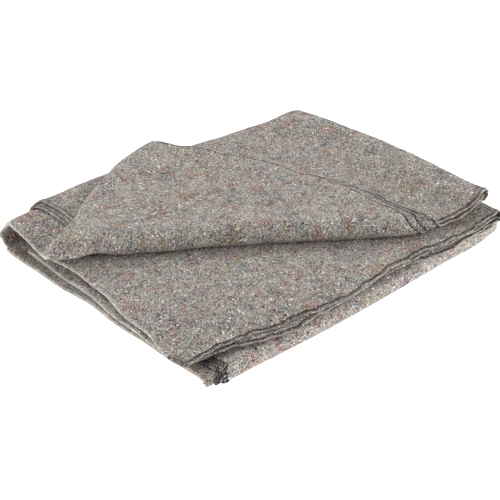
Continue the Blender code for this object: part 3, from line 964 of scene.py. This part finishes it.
# Fibres that show on the felt: cells to a metre, length, width, share of the cells, colours and cover
Fibres = namedtuple("Fibres", "scale length width share first last cover")
FIBRES = (
    Fibres(190.0, 0.0050, 0.00080, 0.5, (0.030, 0.028, 0.027), (0.10, 0.09, 0.08), 0.75),
    Fibres(150.0, 0.0070, 0.00060, 0.5, (0.035, 0.032, 0.035), (0.11, 0.10, 0.09), 0.75),
    Fibres(150.0, 0.0080, 0.00055, 0.6, (0.50, 0.47, 0.43), (0.80, 0.76, 0.71), 0.8),
    Fibres(180.0, 0.0065, 0.00050, 0.6, (0.50, 0.47, 0.43), (0.88, 0.85, 0.81), 0.8),
    Fibres(120.0, 0.0090, 0.00050, 0.5, (0.60, 0.57, 0.53), (0.95, 0.93, 0.90), 0.9),
    Fibres(120.0, 0.0070, 0.00100, 0.2, (0.45, 0.15, 0.14), (0.10, 0.22, 0.28), 0.5),
)
FIBRE_CURL = 250.0  # the most that they bend either way, as offset over length squared, to a metre

# Small knots of wool: cells to a metre, radius in cells, share of the cells and colour
Knots = namedtuple("Knots", "scale radius share colour")
KNOTS = (
    Knots(230.0, 0.34, 0.080, (0.95, 0.94, 0.91)),
    Knots(150.0, 0.22, 0.040, (0.95, 0.94, 0.91)),
    Knots(200.0, 0.34, 0.070, (0.010, 0.010, 0.012)),
    Knots(120.0, 0.17, 0.050, (0.010, 0.010, 0.012)),
    Knots(120.0, 0.20, 0.020, (0.36, 0.06, 0.09)),
    Knots(110.0, 0.20, 0.020, (0.04, 0.11, 0.17)),
)

# What the felt's shader is set to
FELT = {
    "Roughness": 0.96,
    "Specular IOR Level": 0.12,
    "Sheen Weight": 0.18,
    "Sheen Roughness": 0.45,
    "Sheen Tint": (0.86, 0.82, 0.78, 1.0),
}
# The mixed wool's colour by its finest noise
WOOL = (
    (0.37, (0.045, 0.040, 0.033)),
    (0.465, (0.210, 0.190, 0.163)),
    (0.535, (0.400, 0.368, 0.326)),
    (0.63, (0.850, 0.805, 0.742)),
)
SHADING = ((0.32, 0.84), (0.68, 1.16))  # its shade by a broader one
SWIRL = 0.006  # how far the pattern is drawn out of its place


def felt_material():
    """The mixed wool, with its dyed patches, single fibres, knots and a painted crease highlight."""
    material, tree, shader = new_material("felted_wool_melange", FELT)
    source = node(tree, "ShaderNodeTexCoord")
    normal = source.outputs["Normal"]
    plain = source.outputs["Object"]
    swirl = noise(tree, plain, scale=90.0, detail=1.0)
    place = vector(tree, "MULTIPLY_ADD", swirl.outputs["Color"], (SWIRL, SWIRL, SWIRL), plain)

    grain = noise(tree, place, scale=540.0, detail=4.0, rough=0.74)
    colour = ramp(tree, grain.outputs[0], WOOL)
    for index, patch in enumerate(PATCHES):
        cloud = noise(tree, place, patch.scale, shift=1.3 + 3.9 * index, distortion=0.5)
        amount = step(tree, cloud.outputs[0], patch.low, patch.high, 0.0, patch.most)
        colour = mixed(tree, amount, colour, patch.colour, "SOFT_LIGHT")
    fibre_height = None
    for index, kind in enumerate(FIBRES):
        mask, which = strokes(tree, place, normal, 0.37 + 1.71 * index, kind)
        tint = ramp(tree, which, [(0.0, kind.first), (1.0, kind.last)])
        cover = calc(tree, "MULTIPLY", mask, kind.cover)
        colour = mixed(tree, cover, colour, tint)
        fibre_height = mask if fibre_height is None else calc(tree, "MAXIMUM", fibre_height, mask)
    for index, kind in enumerate(KNOTS):
        cells, pick = cells_at(tree, moved(tree, place, 2.1 + 1.9 * index), kind.scale)
        near = step(tree, cells["Distance"], kind.radius * 0.6, kind.radius, 1.0, 0.0)
        chosen = calc(tree, "LESS_THAN", pick[0], kind.share)
        colour = mixed(tree, calc(tree, "MULTIPLY", near, chosen), colour, kind.colour)
    cloud = noise(tree, place, scale=75.0, detail=3.0, rough=0.6, shift=31.0)
    colour = mixed(tree, 1.0, colour, ramp(tree, cloud.outputs[0], SHADING), "MULTIPLY")
    # The highlight painted along the crease
    crease_highlight = node(tree, "ShaderNodeAttribute", attribute_name="crease_highlight", attribute_type="GEOMETRY")
    colour = mixed(tree, crease_highlight.outputs["Fac"], colour, CREASE_HIGHLIGHT_COLOUR)
    tree.links.new(colour, shader.inputs["Base Color"])

    # The relief of its surface
    fine = node(tree, "ShaderNodeBump", Strength=0.55, Distance=0.0007)
    tree.links.new(calc(tree, "ADD", grain.outputs[0], fibre_height), fine.inputs["Height"])
    pile = noise(tree, place, scale=190.0, rough=0.6, shift=21.0)
    broad = node(tree, "ShaderNodeBump", Strength=0.35, Distance=0.0012)
    tree.links.new(pile.outputs[0], broad.inputs["Height"])
    tree.links.new(fine.outputs["Normal"], broad.inputs["Normal"])
    tree.links.new(broad.outputs["Normal"], shader.inputs["Normal"])
    return material


def fibre_material(name):
    """Yarn or fibre of the colours painted on it."""
    material, tree, shader = new_material(name, {"Roughness": 0.8})
    source = node(tree, "ShaderNodeAttribute", attribute_name="tint", attribute_type="GEOMETRY")
    grain = noise(tree, node(tree, "ShaderNodeTexCoord").outputs["Object"], scale=700.0, detail=1.0)
    shade = ramp(tree, grain.outputs[0], [(0.3, 0.82), (0.7, 1.0)])
    colour = mixed(tree, 1.0, source.outputs["Color"], shade, "MULTIPLY")
    tree.links.new(colour, shader.inputs["Base Color"])
    return material


# The studio
FLOOR_SIZE = 12.0
CAMERA_AT = (-0.85022, -0.91642, 0.76435)
CAMERA_LENS = 77.76
CAMERA_PITCH = math.radians(32.0)
CAMERA_HEADING = math.atan2(0.7337, 0.6794)  # from +x
SKY = 0.33
FLOOR = {
    "Base Color": (0.90, 0.90, 0.90, 1.0),
    "Roughness": 0.9,
    "Emission Color": (1.0, 1.0, 1.0, 1.0),
    "Emission Strength": 0.8,
}

# Round soft lights, by their way from the blanket: to the camera's right, away and up
LAMP_DISTANCE = 2.4
LAMP_SIZE = 1.6
Lamp = namedtuple("Lamp", "name right away up power")
LAMPS = (
    Lamp("right", 0.85, 0.0, 0.45, 10.0),
    Lamp("low_right", 0.96, -0.20, 0.20, 46.0),
    Lamp("low_left", -0.97, -0.16, 0.16, 40.0),
    Lamp("above", -0.32, 0.50, 0.80, 31.0),
)


def build_studio():
    """The camera, floor, sky and lamps."""
    scene = bpy.context.scene
    data = bpy.data.cameras.new("camera")
    data.lens = CAMERA_LENS
    data.sensor_width = 36.0
    data.clip_end = 50.0
    camera = bpy.data.objects.new("camera", data)
    camera.location = CAMERA_AT
    camera.rotation_euler = (math.pi / 2.0 - CAMERA_PITCH, 0.0, CAMERA_HEADING - math.pi / 2.0)
    scene.collection.objects.link(camera)
    scene.camera = camera

    corner = FLOOR_SIZE / 2.0
    floor = mesh_object(
        "floor",
        [(-corner, -corner, 0.0), (corner, -corner, 0.0), (corner, corner, 0.0), (-corner, corner, 0.0)],
        [(0, 1, 2, 3)],
    )
    floor.data.materials.append(new_material("pale_floor", FLOOR)[0])
    scene.collection.objects.link(floor)

    world = bpy.data.worlds.new("studio")
    scene.world = world
    world.use_nodes = True
    sky = world.node_tree.nodes["Background"]
    sky.inputs["Color"].default_value = (1.0, 1.0, 1.0, 1.0)
    sky.inputs["Strength"].default_value = SKY

    right = Vector((math.sin(CAMERA_HEADING), -math.cos(CAMERA_HEADING), 0.0))
    away = Vector((math.cos(CAMERA_HEADING), math.sin(CAMERA_HEADING), 0.0))
    for lamp in LAMPS:
        light = bpy.data.lights.new(lamp.name, "AREA")
        light.shape = "DISK"
        light.size = LAMP_SIZE
        light.energy = lamp.power
        shown = bpy.data.objects.new(lamp.name, light)
        way = (right * lamp.right + away * lamp.away + Vector((0.0, 0.0, lamp.up))).normalized()
        shown.location = way * LAMP_DISTANCE
        shown.rotation_euler = (-way).to_track_quat("-Z", "Y").to_euler()
        scene.collection.objects.link(shown)
    scene.view_settings.view_transform = "Standard"


# The whole
SEED = 11
FLECK_TRIES, FUZZ_TRIES = 110000, 320000  # those that would lie between layers are left out


def add(piece, material):
    """Brings a piece of the blanket into the scene."""
    bpy.context.scene.collection.objects.link(piece)
    piece.data.materials.append(material)
    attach(piece, "root")


def main():
    """Builds the studio and the blanket."""
    build_studio()
    cloth = build_cloth()
    add(cloth, felt_material())
    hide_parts("blanket")

    random = np.random.default_rng(SEED)
    loopers = build_loopers(random)
    needle = build_needle_thread()
    add(loopers, fibre_material("looper_yarn"))
    add(needle, fibre_material("needle_yarn"))

    bpy.context.view_layer.update()
    tree = BVHTree.FromObject(cloth, bpy.context.evaluated_depsgraph_get())
    flecks = build_flecks(random, tree, FLECK_TRIES)
    fuzz = build_fuzz(random, tree, FUZZ_TRIES)
    for piece, name in ((flecks, "fleck_fibres"), (fuzz, "fuzz_fibres")):
        add(piece, fibre_material(name))


main()
